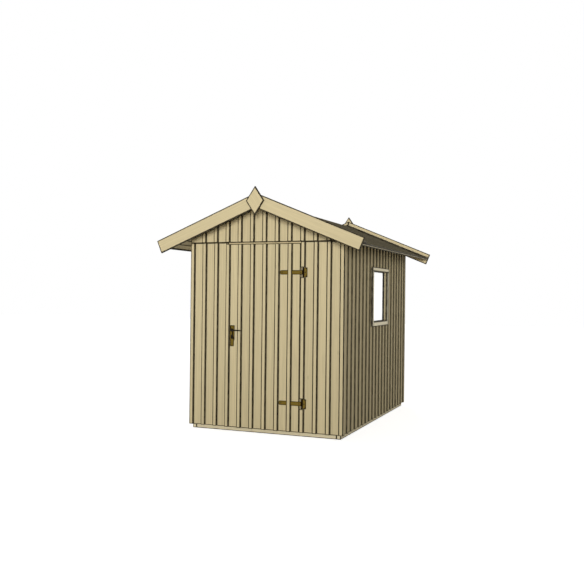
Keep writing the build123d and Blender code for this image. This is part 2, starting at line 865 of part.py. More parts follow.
pieces = {
    "base_beams": base_beams,
    "floor_joists": floor_joists,
    "floor_deck": floor_deck,
    "sole_plates": sole_plates,
    "corner_posts": corner_posts,
    "wall_studs": wall_studs,
    "door_posts": door_posts,
    "wall_rails": wall_rails,
    "window_trimmers": window_trimmers,
    "top_plates": top_plates,
    "ridge_beam": ridge_beam,
    "rafters": rafters,
    "gable_rafters": gable_rafters,
    "front_wall": front_wall,
    "door_head_board": door_head_board,
    "rear_wall": rear_wall,
    "front_gable": front_gable,
    "rear_gable": rear_gable,
    "left_wall": left_wall,
    "right_wall_ends": right_wall_ends,
    "right_wall_middle": right_wall_middle,
    "front_wall_battens": front_wall_battens,
    "rear_wall_battens": rear_wall_battens,
    "left_wall_battens": left_wall_battens,
    "right_wall_battens": right_wall_battens,
    "gable_battens": gable_battens,
    "window_lining": window_lining,
    "window_casings": window_casings,
    "window_gasket": window_gasket,
    "window_pane": window_pane,
    "left_roof_boards": left_roof_boards,
    "right_roof_boards": right_roof_boards,
    "eave_strips": eave_strips,
    "verge_boards": verge_boards,
    "left_bargeboards": left_bargeboards,
    "right_bargeboards": right_bargeboards,
    "finials": finials,
    "door_boards": door_boards,
    "door_battens": door_battens,
    "door_ledges": door_ledges,
    "door_braces": door_braces,
    "hinge_flaps": hinge_flaps,
    "hinge_straps": hinge_straps,
    "lock_plate": lock_plate,
    "lock_case": lock_case,
    "outer_lever": outer_lever,
    "inner_lever": inner_lever,
}

os.makedirs("parts", exist_ok=True)
for label, piece in pieces.items():
    piece.part.label = label
    export_step(piece.part, f"parts/{label}.step")
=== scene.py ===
import json
import random
from math import cos, pi, radians, sin

import bmesh
import bpy
from bpy.props import FloatProperty, FloatVectorProperty, IntProperty, PointerProperty
from bpy.types import Operator, Panel, PropertyGroup
from mathutils import Matrix, Vector


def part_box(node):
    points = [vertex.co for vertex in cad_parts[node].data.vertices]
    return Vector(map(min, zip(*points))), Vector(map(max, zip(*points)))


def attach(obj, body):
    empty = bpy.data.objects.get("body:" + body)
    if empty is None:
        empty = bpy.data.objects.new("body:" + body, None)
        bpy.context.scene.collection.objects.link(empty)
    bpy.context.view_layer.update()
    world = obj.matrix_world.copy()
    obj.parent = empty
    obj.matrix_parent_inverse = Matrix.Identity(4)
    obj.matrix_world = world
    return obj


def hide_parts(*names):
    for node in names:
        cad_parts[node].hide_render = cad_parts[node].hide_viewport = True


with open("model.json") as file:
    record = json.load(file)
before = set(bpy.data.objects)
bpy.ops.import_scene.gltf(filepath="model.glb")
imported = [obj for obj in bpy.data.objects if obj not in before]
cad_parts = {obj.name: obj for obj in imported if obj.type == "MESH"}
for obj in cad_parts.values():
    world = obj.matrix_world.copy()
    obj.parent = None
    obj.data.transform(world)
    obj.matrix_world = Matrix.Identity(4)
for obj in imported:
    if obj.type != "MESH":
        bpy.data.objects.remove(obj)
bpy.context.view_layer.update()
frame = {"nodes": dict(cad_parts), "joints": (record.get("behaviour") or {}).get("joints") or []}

bl_info = {
    "name": "Board and batten garden shed",
    "version": (1, 0, 0),
    "blender": (4, 5, 0),
    "location": "3D View > Sidebar > Shed",
    "description": "Dresses a timber garden shed with sawn boards, battens and ironmongery",
    "category": "Object",
}

MM = 0.001
# Steel: its dark edges, and where the screws of the hinges sit, as run from the hinge's axis and lift
STEEL_RIM = 6 * MM
STEEL_NARROW = 12 * MM
FLAP_SCREWS = ((38 * MM, -40 * MM), (38 * MM, 40 * MM), (26 * MM, 0))
TIP_SCREW = 30 * MM
AXIS_SCREW = 32 * MM
KNUCKLE_STAND_OFF = 4 * MM
# Lip round the keyhole: middle of the hole below the spindle, and radius, half stretch and rise of its rings
KEYHOLE_DROP = 72 * MM
LIP_POINTS = 28
LIP_RINGS = ((8 * MM, 10 * MM, -0.4 * MM), (8 * MM, 10 * MM, 1 * MM), (15 * MM, 9 * MM, 1 * MM), (16 * MM, 9 * MM, -0.4 * MM))
X_AXIS = Vector((1, 0, 0))
Y_AXIS = Vector((0, 1, 0))
Z_AXIS = Vector((0, 0, 1))
RANDOM_SEED = 7
# Faces narrower than these are dark with painted shade, the lining less so: all of the window's lining, and the sides
# of its casings
LINING_LIMIT = 120 * MM
LINING_SHADE = 0.45
CASING_LIMIT = 42 * MM
# The fill light stands behind on the left: angles in degrees, the first from straight in front
FILL_SIDE = 222
FILL_HEIGHT = 14
FILL_SOFTNESS = 45
# How far the tops of the roof boards are darkened with painted shade
ROOF_TOP_SHADE = 0.72
# How dark the painted shade on the narrow faces of the side walls' battens is, where full shade is 1
SIDE_BATTEN_SHADE = 0.92
# What the floor shows the camera beyond the light that falls on it, so that it matches the backdrop
FLOOR_LIFT = 0.77


def hex_colour(text):
    """Linear red, green and blue of an sRGB hex colour."""
    channels = [int(text[i:i + 2], 16) / 255 for i in (0, 2, 4)]
    return tuple(c / 12.92 if c <= 0.04045 else ((c + 0.055) / 1.055) ** 2.4 for c in channels)


# Sizes and colours that a user would change


class ShedTimberSettings(PropertyGroup):
    board_gap: FloatProperty(
        name="Board gap",
        description="Gap between neighbouring wall boards, hidden under a batten",
        default=3 * MM,
        unit="LENGTH",
    )
    roof_board_width: FloatProperty(
        name="Roof board width",
        description="Width of the roof boards, which run from gable to gable",
        default=103 * MM,
        unit="LENGTH",
    )
    roof_board_gap: FloatProperty(
        name="Roof board gap",
        description="Shadow gap between roof boards",
        default=3 * MM,
        unit="LENGTH",
    )
    deck_board_width: FloatProperty(
        name="Deck board width",
        description="Width of the floor boards",
        default=120 * MM,
        unit="LENGTH",
    )
    arris: FloatProperty(
        name="Arris",
        description="Width of the eased edge of every piece of timber",
        default=1.5 * MM,
        unit="LENGTH",
    )
    rim: FloatProperty(
        name="Rim",
        description="Width of the dark line along the arrises of boards and battens",
        default=7.5 * MM,
        unit="LENGTH",
    )
    trim_rim: FloatProperty(
        name="Trim rim",
        description="Width of the dark line along the arrises of bargeboards, finials and casings",
        default=11 * MM,
        unit="LENGTH",
    )
    frame_rim: FloatProperty(
        name="Frame rim",
        description="Width of the dark line along the arrises of the frame inside",
        default=3 * MM,
        unit="LENGTH",
    )
    # Narrow faces are darkened all over with painted shade
    narrow_face: FloatProperty(
        name="Narrow face",
        description="Faces narrower than this are dark all over",
        default=24 * MM,
        unit="LENGTH",
    )
    # The dark line beside each batten is painted shade in the corner where batten and board meet
    crevice: FloatProperty(
        name="Crevice",
        description="Width of the dark line of dirt on the boards beside each batten",
        default=9 * MM,
        unit="LENGTH",
    )
    # The dark line beside the verge boards is painted shade
    verge_crevice: FloatProperty(
        name="Verge crevice",
        description="Width of the dark line on the roof boards beside the verge boards",
        default=30 * MM,
        unit="LENGTH",
    )
    # The dark line under the gable boards is a painted shadow
    gable_shadow_line: FloatProperty(
        name="Drip line",
        description="Height of the dark line on the wall under the gable boards",
        default=9 * MM,
        unit="LENGTH",
    )
    nail_radius: FloatProperty(
        name="Nail head radius",
        description="Radius of the nail heads in the battens",
        default=2.6 * MM,
        unit="LENGTH",
    )


class ShedColourSettings(PropertyGroup):
    boards: FloatVectorProperty(
        name="Boards",
        description="Colour of the wall boards and battens",
        default=hex_colour("C8B992"),
        size=3,
        subtype="COLOR",
    )
    trim: FloatVectorProperty(
        name="Trim",
        description="Colour of the roof boards, eave strips and base beams",
        default=hex_colour("DCCFAC"),
        size=3,
        subtype="COLOR",
    )
    casing: FloatVectorProperty(
        name="Casings",
        description="Colour of the casings round the window",
        default=hex_colour("F2E7C8"),
        size=3,
        subtype="COLOR",
    )
    timber: FloatVectorProperty(
        name="Frame timber",
        description="Colour of the frame inside the shed",
        default=hex_colour("CBB98E"),
        size=3,
        subtype="COLOR",
    )
    # Colour of the dark edge lines and of the painted shade in corners and on narrow faces
    dark_line_and_shade: FloatVectorProperty(
        name="Dark lines and shade",
        description="Colour of worn arrises and crevices",
        default=hex_colour("1C160A"),
        size=3,
        subtype="COLOR",
    )
    steel: FloatVectorProperty(
        name="Passivated steel",
        description="Colour of the hinges and the lock plate",
        default=hex_colour("665524"),
        size=3,
        subtype="COLOR",
    )


class ShedStageSettings(PropertyGroup):
    lens: FloatProperty(
        name="Lens",
        description="Focal length of the camera on a 36 mm wide sensor, in millimetres",
        default=46.129,
    )
    camera_place: FloatVectorProperty(
        name="Camera place",
        description="Where the camera stands",
        default=(3.2486, -8.7155, 1.4966),
        size=3,
        unit="LENGTH",
    )
    camera_yaw: FloatProperty(
        name="Camera yaw",
        description="How far the camera looks to the left of straight back",
        default=radians(21.73),
        subtype="ANGLE",
    )
    camera_pitch: FloatProperty(
        name="Camera pitch",
        description="How far the camera looks up",
        default=radians(0.19),
        subtype="ANGLE",
    )
    camera_roll: FloatProperty(
        name="Camera roll",
        description="How far the camera leans",
        default=radians(0.636),
        subtype="ANGLE",
    )
    sky: FloatProperty(
        name="Sky light",
        description="Strength of the even light from all round",
        default=0.26,
    )
    key: FloatProperty(
        name="Key light",
        description="Strength of the large soft light in front, to the right",
        default=2.75,
    )
    fill: FloatProperty(
        name="Fill light",
        description="Strength of the large soft light behind, to the left",
        default=1.5,
    )
    key_side: FloatProperty(
        name="Key side",
        description="How far the key light stands to the right of straight in front",
        default=radians(20.5),
        subtype="ANGLE",
    )
    key_height: FloatProperty(
        name="Key height",
        description="How high the key light stands above the horizon",
        default=radians(2.5),
        subtype="ANGLE",
    )
    key_softness: FloatProperty(
        name="Key softness",
        description="How wide the key light looks from the shed",
        default=radians(16),
        subtype="ANGLE",
    )
    floor_size: IntProperty(
        name="Floor size",
        description="Width of the floor in metres",
        default=60,
    )


def timber_settings():
    return bpy.context.scene.shed_timber


def colour_settings():
    return bpy.context.scene.shed_colours


def stage_settings():
    return bpy.context.scene.shed_stage


# Timber: the solids of the frame are sawn into boards, eased at their arrises and given a grain


def solids_of(node):
    """The separate solids of a CAD node, each a bmesh with its flat faces whole."""
    whole = bmesh.new()
    whole.from_mesh(frame["nodes"][node].data)
    bmesh.ops.remove_doubles(whole, verts=whole.verts, dist=0.02 * MM)
    bmesh.ops.dissolve_limit(whole, angle_limit=radians(0.5), verts=whole.verts, edges=whole.edges)
    found = []
    waiting = set(whole.verts)
    while waiting:
        front = [waiting.pop()]
        members = set(front)
        while front:
            corner = front.pop()
            for edge in corner.link_edges:
                other = edge.other_vert(corner)
                if other in waiting:
                    waiting.remove(other)
                    members.add(other)
                    front.append(other)
        found.append(members)
    solids = []
    for members in found:
        solid = bmesh.new()
        copies = {corner: solid.verts.new(corner.co) for corner in members}
        faces = {face for corner in members for face in corner.link_faces}
        for face in sorted(faces, key=lambda face: tuple(face.calc_center_median())):
            solid.faces.new([copies[corner] for corner in face.verts])
        solid.normal_update()
        solids.append(solid)
    whole.free()
    solids.sort(key=lambda solid: tuple(middle_of(solid)))
    return solids


def span_of(solid, axis):
    """Lowest and highest reach of a bmesh along an axis."""
    reach = [corner.co.dot(axis) for corner in solid.verts]
    return min(reach), max(reach)


def middle_of(solid):
    """Middle of a bmesh's box."""
    return Vector([sum(span_of(solid, axis)) / 2 for axis in (X_AXIS, Y_AXIS, Z_AXIS)])


def cut_off(solid, place, normal):
    """Cuts away what lies past a plane and closes the cut."""
    geometry = solid.verts[:] + solid.edges[:] + solid.faces[:]
    result = bmesh.ops.bisect_plane(
        solid, geom=geometry, dist=0.001 * MM, plane_co=place, plane_no=normal, clear_outer=True
    )
    rim = [part for part in result["geom_cut"] if isinstance(part, bmesh.types.BMEdge)]
    if rim:
        bmesh.ops.edgeloop_fill(solid, edges=rim)


def saw(solid, axis, cuts, gap):
    """Boards that a slab makes when it is cut at the given places along an axis."""
    low, high = span_of(solid, axis)
    stops = [low - gap] + sorted(cut for cut in cuts if low + gap < cut < high - gap) + [high + gap]
    boards = []
    for start, end in zip(stops, stops[1:]):
        board = solid.copy()
        if start > low:
            cut_off(board, axis * (start + gap / 2), -axis)
        if end < high:
            cut_off(board, axis * (end - gap / 2), axis)
        boards.append(board)
    return boards


def even_cuts(solid, axis, board_width):
    """Places that divide a slab into equal boards of about the given width."""
    low, high = span_of(solid, axis)
    count = max(1, round((high - low) / board_width))
    return [low + (high - low) * i / count for i in range(1, count)]


def shade_and_lines_layer(board):
    """Layer of a bmesh that says how dark each face is: painted shade and dark edge lines."""
    return board.faces.layers.float.get("shade_and_lines") or board.faces.layers.float.new("shade_and_lines")


def score(board, axis, stripes, facing):
    """Marks stripes of a board's outer face as dark: painted shade."""
    for start, end in stripes:
        for place in (start, end):
            geometry = board.verts[:] + board.edges[:] + board.faces[:]
            bmesh.ops.bisect_plane(board, geom=geometry, dist=0.001 * MM, plane_co=axis * place, plane_no=axis)
    shade_and_lines = shade_and_lines_layer(board)
    board.normal_update()
    for face in board.faces:
        reach = face.calc_center_median().dot(axis)
        if face.normal.dot(facing) > 0.5 and any(start < reach < end for start, end in stripes):
            face[shade_and_lines] = 1.0


def narrow(face, limit):
    """Whether a face is narrower than the limit."""
    return face.calc_area() < limit * max(edge.calc_length() for edge in face.edges)


def outline(board, rim, limit, narrow_shade=1.0):
    """Darkens a board along its arrises with dark lines, and its narrow faces all over with painted shade."""
    shade_and_lines = shade_and_lines_layer(board)
    board.normal_update()
    sides = {}
    for face in board.faces:
        if narrow(face, limit):
            face[shade_and_lines] = narrow_shade
        else:
            height = round(face.normal.dot(face.verts[0].co) / MM)
            sides.setdefault((*(round(part, 2) for part in face.normal), height), []).append(face)
    for faces in sides.values():
        ring = bmesh.ops.inset_region(
            board, faces=faces, thickness=rim, use_boundary=True, use_even_offset=True
        )
        for face in ring["faces"]:
            face[shade_and_lines] = 1.0


def ease(board, width):
    """Takes the sharpness off the arrises of a board and marks them dark, as edge lines."""
    shade_and_lines = shade_and_lines_layer(board)
    board.normal_update()
    sharp = [edge for edge in board.edges if len(edge.link_faces) == 2 and edge.calc_face_angle(0) > radians(20)]
    result = bmesh.ops.bevel(
        board, geom=sharp, offset=width, segments=1, affect="EDGES", clamp_overlap=True
    )
    for face in result["faces"]:
        face[shade_and_lines] = 1.0


def shade_roof_tops(board):
    """Darkens the upper face of a roof board with painted shade."""
    shade_and_lines = shade_and_lines_layer(board)
    board.normal_update()
    for face in board.faces:
        if face.normal.z > 0.5:
            face[shade_and_lines] = max(face[shade_and_lines], ROOF_TOP_SHADE)


def longest_edge(board):
    """Direction of a solid's longest edge, which its grain follows."""
    edge = max(board.edges, key=lambda edge: round(edge.calc_length(), 5))
    run = edge.verts[1].co - edge.verts[0].co
    return run.normalized()


def grain_frame(along):
    """Three axes of a board: along its grain and two across it."""
    helper = Y_AXIS if abs(along.y) < 0.9 else X_AXIS
    side = along.cross(helper).normalized()
    return along, side, along.cross(side).normalized()


def stack(name, boards, seed, grain=None):
    """One mesh object of many boards, each with its own grain, tint, and faces darkened by painted shade and edge
    lines.
    """
    draws = random.Random(f"{RANDOM_SEED} {seed}")
    places, faces, grains, shades_and_lines, tints = [], [], [], [], []
    for board in boards:
        board.normal_update()
        board.verts.index_update()
        axes = grain_frame(grain or longest_edge(board))
        middle = middle_of(board)
        # The heart of the log lies to one side of the board, so the rings cut its face differently
        shift = Vector((draws.uniform(0, 40), draws.uniform(-0.09, 0.09), draws.uniform(0.02, 0.12)))
        tint = draws.uniform(-1, 1)
        shade_and_lines = board.faces.layers.float.get("shade_and_lines")
        first = len(places)
        for corner in board.verts:
            places.append(corner.co[:])
            offset = corner.co - middle
            grains.extend(offset.dot(axis) + shift[i] for i, axis in enumerate(axes))
        for face in board.faces:
            faces.append([first + corner.index for corner in face.verts])
            shades_and_lines.append(face[shade_and_lines] if shade_and_lines else 0.0)
            tints.append(tint)
        board.free()
    mesh = bpy.data.meshes.new(name)
    mesh.from_pydata(places, [], faces)
    mesh.attributes.new("grain", "FLOAT_VECTOR", "POINT").data.foreach_set("vector", grains)
    mesh.attributes.new("shade_and_lines", "FLOAT", "FACE").data.foreach_set("value", shades_and_lines)
    mesh.attributes.new("tint", "FLOAT", "FACE").data.foreach_set("value", tints)
    piece = bpy.data.objects.new(name, mesh)
    bpy.context.scene.collection.objects.link(piece)
    return piece


def settle(piece, material, slot, body, *nodes):
    """Gives a piece its material, sets it for its CAD nodes and lets it ride; the slot argument is not used."""
    piece.data.materials.append(material)
    if nodes:
        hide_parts(*nodes)
    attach(piece, body)


def dress_timber(node, material, slot, body="shed", rim=None, limit=None, narrow_shade=1.0, stripes=None):
    """Every solid of a node as one eased piece of timber with the grain along it."""
    settings = timber_settings()
    boards = solids_of(node)
    for board in boards:
        outline(board, rim or settings.frame_rim, limit or settings.narrow_face, narrow_shade)
        ease(board, settings.arris)
        if stripes:
            for facing in (X_AXIS, -X_AXIS, Y_AXIS, -Y_AXIS):
                score(board, Z_AXIS, stripes, facing)
    piece = stack("dressed_" + node, boards, node)
    settle(piece, material, slot, body, node)


def batten_lines(node, axis, keep=None):
    """Edges and centre of each batten of a node along an axis, in order."""
    lines = []
    for batten in solids_of(node):
        if keep is None or keep(middle_of(batten)):
            low, high = span_of(batten, axis)
            if not any(abs(low - known[0]) < MM for known in lines):
                lines.append((low, high, (low + high) / 2))
        batten.free()
    return sorted(lines)


def gable_shadow_stripes():
    """Stripe of painted shadow on the wall right under the gable boards."""
    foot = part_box("front_gable")[0].z
    return [(foot - timber_settings().gable_shadow_line, foot)]


def verge_stripes():
    """Stripes of painted shade on the roof boards along the inner edges of the verge boards."""
    width = timber_settings().verge_crevice
    stripes = set()
    for verge in solids_of("verge_boards"):
        low, high = span_of(verge, Y_AXIS)
        stripes.add((low - width, low) if low > 0 else (high, high + width))
        verge.free()
    return sorted(stripes)


def crevices(lines):
    """Stripes of painted shade on both sides of each batten, in the corners where it meets the boards."""
    width = timber_settings().crevice
    return [(low - width, low) for low, _, _ in lines] + [(high, high + width) for _, high, _ in lines]


def board_wall(node, axis, facing, lines, body="shed", stripes=None):
    """Wall slab sawn into vertical boards under its battens."""
    settings = timber_settings()
    cuts = [centre for _, _, centre in lines]
    boards = []
    for slab in solids_of(node):
        boards += saw(slab, axis, cuts, settings.board_gap)
        slab.free()
    for board in boards:
        outline(board, settings.rim, settings.arris)
        ease(board, settings.arris)
        low, high = span_of(board, axis)
        score(board, axis, [s for s in crevices(lines) if low < s[0] and s[1] < high], facing)
        if stripes:
            score(board, Z_AXIS, stripes, facing)
    piece = stack("boards_" + node, boards, node, grain=Z_AXIS)
    settle(piece, sawn_softwood(), "wall_boards", body, node)


def dome_heads(name, places, facing, radius, height, sides, material, slot, body):
    """Low domed heads of nails or screws, one at each place, in one mesh."""
    side = facing.cross(Z_AXIS).normalized()
    up = side.cross(facing).normalized()
    rings = ((1.0, -0.4), (1.0, 0.35), (0.62, 0.86))
    points, faces = [], []
    for place in places:
        first = len(points)
        for share, rise in rings:
            for i in range(sides):
                turn = 2 * pi * i / sides
                spoke = side * cos(turn) + up * sin(turn)
                points.append(place + spoke * radius * share + facing * height * rise)
        points.append(place + facing * height)
        for ring in range(len(rings) - 1):
            for i in range(sides):
                j = (i + 1) % sides
                low = first + ring * sides
                faces.append((low + i, low + j, low + sides + j, low + sides + i))
        top = first + (len(rings) - 1) * sides
        faces.extend((top + i, top + (i + 1) % sides, first + len(rings) * sides) for i in range(sides))
        faces.append([first + i for i in reversed(range(sides))])
    mesh = bpy.data.meshes.new(name)
    mesh.from_pydata([tuple(point) for point in points], [], faces)
    mesh.validate()
    solid = bmesh.new()
    solid.from_mesh(mesh)
    bmesh.ops.recalc_face_normals(solid, faces=solid.faces)
    solid.to_mesh(mesh)
    solid.free()
    piece = bpy.data.objects.new(name, mesh)
    bpy.context.scene.collection.objects.link(piece)
    settle(piece, material, slot, body)
    return piece


# Materials


def add_node(tree, kind, inputs=None, **settings):
    """Adds a node with its settings, and its inputs as values or as links from other nodes."""
    node = tree.nodes.new(kind)
    for name, value in settings.items():
        setattr(node, name, value)
    for name, value in (inputs or {}).items():
        if isinstance(value, bpy.types.NodeSocket):
            tree.links.new(value, node.inputs[name])
        else:
            node.inputs[name].default_value = value
    return node


def new_material(name):
    """Empty node material and its tree, or None for the tree where the material exists."""
    found = bpy.data.materials.get(name)
    if found:
        return found, None
    material = bpy.data.materials.new(name)
    material.use_nodes = True
    material.node_tree.nodes.clear()
    return material, material.node_tree


def scaled(colour, factor):
    """Colour times a factor, with full alpha."""
    return tuple(min(1.0, channel * factor) for channel in colour) + (1.0,)


def softwood(name, colour, ring_contrast, roughness, fibre_depth, gloss=0.1):
    """Softwood whose rings, fibres, board tints, dark arrises and painted shade follow each board's own grain."""
    material, tree = new_material(name)
    if tree is None:
        return material
    grain = add_node(tree, "ShaderNodeAttribute", attribute_name="grain")
    shade_and_lines = add_node(tree, "ShaderNodeAttribute", attribute_name="shade_and_lines")
    tint = add_node(tree, "ShaderNodeAttribute", attribute_name="tint")
    # Slow drift of the rings along the board: 700 mm waves along, 60 mm across
    drift_place = add_node(
        tree,
        "ShaderNodeVectorMath",
        {0: grain.outputs["Vector"], 1: (1 / 0.7, 1 / 0.06, 1 / 0.06)},
        operation="MULTIPLY",
    )
    drift = add_node(
        tree, "ShaderNodeTexNoise", {"Vector": drift_place.outputs[0], "Scale": 1.0, "Detail": 2.0, "Roughness": 0.5}
    )
    parts = add_node(tree, "ShaderNodeSeparateXYZ", {0: grain.outputs["Vector"]})
    across = add_node(tree, "ShaderNodeCombineXYZ", {1: parts.outputs[1], 2: parts.outputs[2]})
    heart = add_node(tree, "ShaderNodeVectorMath", {0: across.outputs[0]}, operation="LENGTH")
    # Rings 3 to 4 mm apart are finer than the render shows, so they are drawn 14 mm apart
    bent = add_node(
        tree,
        "ShaderNodeMath",
        {0: drift.outputs["Fac"], 1: 0.035, 2: heart.outputs["Value"]},
        operation="MULTIPLY_ADD",
    )
    turns = add_node(tree, "ShaderNodeMath", {0: bent.outputs[0], 1: 2 * pi / 0.014}, operation="MULTIPLY")
    wave = add_node(tree, "ShaderNodeMath", {0: turns.outputs[0]}, operation="SINE")
    ring = add_node(tree, "ShaderNodeMapRange", {0: wave.outputs[0], 1: -1.0, 2: 1.0, 3: 0.0, 4: 1.0})
    late = add_node(tree, "ShaderNodeMath", {0: ring.outputs[0], 1: 2.2}, operation="POWER")
    # Fibres 1.5 mm wide and 120 mm long
    fibre_place = add_node(
        tree,
        "ShaderNodeVectorMath",
        {0: grain.outputs["Vector"], 1: (1 / 0.12, 1 / 0.0015, 1 / 0.0015)},
        operation="MULTIPLY",
    )
    fibre = add_node(
        tree, "ShaderNodeTexNoise", {"Vector": fibre_place.outputs[0], "Scale": 1.0, "Detail": 3.0, "Roughness": 0.6}
    )
    # Streaks 9 mm wide and half a metre long, the broad tone of a board seen from a distance
    streak_place = add_node(
        tree,
        "ShaderNodeVectorMath",
        {0: grain.outputs["Vector"], 1: (1 / 0.5, 1 / 0.009, 1 / 0.009)},
        operation="MULTIPLY",
    )
    streak = add_node(
        tree, "ShaderNodeTexNoise", {"Vector": streak_place.outputs[0], "Scale": 1.0, "Detail": 2.0, "Roughness": 0.5}
    )
    # Knots: one cell in a grid of 520 by 110 mm, drawn out along the grain
    knot_place = add_node(
        tree,
        "ShaderNodeVectorMath",
        {0: grain.outputs["Vector"], 1: (1 / 0.52, 1 / 0.11, 1 / 0.11)},
        operation="MULTIPLY",
    )
    knot = add_node(tree, "ShaderNodeTexVoronoi", {"Vector": knot_place.outputs[0], "Scale": 1.0, "Randomness": 1.0})
    knot_edge = add_node(
        tree,
        "ShaderNodeMapRange",
        {0: knot.outputs["Distance"], 1: 0.025, 2: 0.06, 3: 1.0, 4: 0.0},
        interpolation_type="SMOOTHSTEP",
    )
    ring_shade = add_node(
        tree, "ShaderNodeMath", {0: late.outputs[0], 1: -ring_contrast, 2: 1.0}, operation="MULTIPLY_ADD"
    )
    streak_shade = add_node(
        tree, "ShaderNodeMapRange", {0: streak.outputs["Fac"], 1: 0.3, 2: 0.7, 3: 0.955, 4: 1.045}
    )
    fibre_shade = add_node(tree, "ShaderNodeMapRange", {0: fibre.outputs["Fac"], 1: 0.25, 2: 0.75, 3: 0.95, 4: 1.05})
    board_shade = add_node(tree, "ShaderNodeMapRange", {0: tint.outputs["Fac"], 1: -1.0, 2: 1.0, 3: 0.965, 4: 1.035})
    shade = ring_shade
    for layer in (streak_shade, fibre_shade, board_shade):
        shade = add_node(tree, "ShaderNodeMath", {0: shade.outputs[0], 1: layer.outputs[0]}, operation="MULTIPLY")
    wood = add_node(
        tree, "ShaderNodeVectorMath", {0: colour[:3], "Scale": shade.outputs[0]}, operation="SCALE"
    )
    knotted = add_node(
        tree,
        "ShaderNodeMix",
        {0: knot_edge.outputs[0], 6: wood.outputs[0], 7: scaled(colour, 0.72)},
        data_type="RGBA",
    )
    # The dark edge lines and painted shade are uneven: patches about 60 mm long
    patch_place = add_node(
        tree,
        "ShaderNodeVectorMath",
        {0: grain.outputs["Vector"], 1: (1 / 0.06, 1 / 0.03, 1 / 0.03)},
        operation="MULTIPLY",
    )
    patch = add_node(tree, "ShaderNodeTexNoise", {"Vector": patch_place.outputs[0], "Scale": 1.0, "Detail": 3.0})
    patchy = add_node(tree, "ShaderNodeMapRange", {0: patch.outputs["Fac"], 1: 0.3, 2: 0.65, 3: 0.9, 4: 1.0})
    painted_dark = add_node(
        tree, "ShaderNodeMath", {0: shade_and_lines.outputs["Fac"], 1: patchy.outputs[0]}, operation="MULTIPLY"
    )
    surface = add_node(
        tree,
        "ShaderNodeMix",
        {0: painted_dark.outputs[0], 6: knotted.outputs[2], 7: tuple(colour_settings().dark_line_and_shade) + (1.0,)},
        data_type="RGBA",
    )
    relief = add_node(
        tree, "ShaderNodeMath", {0: fibre.outputs["Fac"], 1: 0.6, 2: late.outputs[0]}, operation="MULTIPLY_ADD"
    )
    bump = add_node(
        tree, "ShaderNodeBump", {"Strength": 0.6, "Distance": fibre_depth, "Height": relief.outputs[0]}
    )
    rough = add_node(
        tree,
        "ShaderNodeMapRange",
        {0: fibre.outputs["Fac"], 1: 0.2, 2: 0.8, 3: roughness - 0.06, 4: roughness + 0.06},
    )
    shader = add_node(
        tree,
        "ShaderNodeBsdfPrincipled",
        {
            "Base Color": surface.outputs[2],
            "Roughness": rough.outputs[0],
            "Normal": bump.outputs[0],
            "Specular IOR Level": gloss,
        },
    )
    add_node(tree, "ShaderNodeOutputMaterial", {"Surface": shader.outputs[0]})
    return material


def sawn_softwood():
    """Band-sawn spruce boards: matt, slightly furry, with faint straight grain."""
    return softwood("band_sawn_spruce", colour_settings().boards, 0.07, 0.82, 0.35 * MM)


def planed_batten_wood():
    """Planed spruce battens: a little smoother than the boards, of the same tone."""
    return softwood("planed_spruce_batten", colour_settings().boards, 0.06, 0.7, 0.2 * MM)


def planed_trim_wood():
    """Planed pale spruce trim: lighter than the walls, with clearer streaks."""
    return softwood("planed_pale_spruce", colour_settings().trim, 0.12, 0.68, 0.2 * MM)


def roof_board_wood():
    """Planed roof boards: pale, matt with no sheen, their tops darkened with painted shade."""
    return softwood("roof_spruce_shaded_tops", colour_settings().trim, 0.12, 0.9, 0.3 * MM, gloss=0.0)


def pale_casing_wood():
    """Planed window casings of clean sapwood: the palest timber on the shed."""
    return softwood("planed_sapwood_casing", colour_settings().casing, 0.06, 0.68, 0.2 * MM)


def frame_wood():
    """Rough-sawn carcassing timber: coarser rings and a deeper tooth."""
    return softwood("rough_sawn_carcassing", colour_settings().timber, 0.14, 0.85, 0.45 * MM)


def opal_acrylic():
    """Cast opal acrylic sheet, satin: clean white, and glowing by itself as painted light, though no lamp is behind
    it.
    """
    material, tree = new_material("cast_opal_acrylic")
    if tree is None:
        return material
    place = add_node(tree, "ShaderNodeTexCoord")
    # Cast sheet is very slightly uneven: swells 90 mm across
    swell = add_node(
        tree, "ShaderNodeTexNoise", {"Vector": place.outputs["Object"], "Scale": 1 / 0.09, "Detail": 1.0}
    )
    white = add_node(
        tree,
        "ShaderNodeMix",
        {0: swell.outputs["Fac"], 6: scaled(hex_colour("F8F8F6"), 1), 7: scaled(hex_colour("FEFEFD"), 1)},
        data_type="RGBA",
    )
    bump = add_node(tree, "ShaderNodeBump", {"Strength": 0.05, "Distance": 0.2 * MM, "Height": swell.outputs["Fac"]})
    shader = add_node(
        tree,
        "ShaderNodeBsdfPrincipled",
        {
            "Base Color": white.outputs[2],
            "Roughness": 0.4,
            "Specular IOR Level": 0.25,
            # Painted light: the sheet glows white by itself
            "Emission Color": (1.0, 1.0, 1.0, 1.0),
            "Emission Strength": 0.6,
            "Normal": bump.outputs[0],
        },
    )
    add_node(tree, "ShaderNodeOutputMaterial", {"Surface": shader.outputs[0]})
    return material


def black_rubber_recess_shade():
    """Extruded black rubber gasket: near black, standing in for painted shade in the window's recess, with a faint
    dusty bloom.
    """
    material, tree = new_material("black_rubber_recess_shade")
    if tree is None:
        return material
    place = add_node(tree, "ShaderNodeTexCoord")
    bloom = add_node(
        tree, "ShaderNodeTexNoise", {"Vector": place.outputs["Object"], "Scale": 1 / 0.02, "Detail": 3.0}
    )
    colour = add_node(
        tree,
        "ShaderNodeMix",
        {0: bloom.outputs["Fac"], 6: scaled(hex_colour("060606"), 1), 7: scaled(hex_colour("141312"), 1)},
        data_type="RGBA",
    )
    shader = add_node(
        tree,
        "ShaderNodeBsdfPrincipled",
        {"Base Color": colour.outputs[2], "Roughness": 0.8, "Specular IOR Level": 0.2},
    )
    add_node(tree, "ShaderNodeOutputMaterial", {"Surface": shader.outputs[0]})
    return material


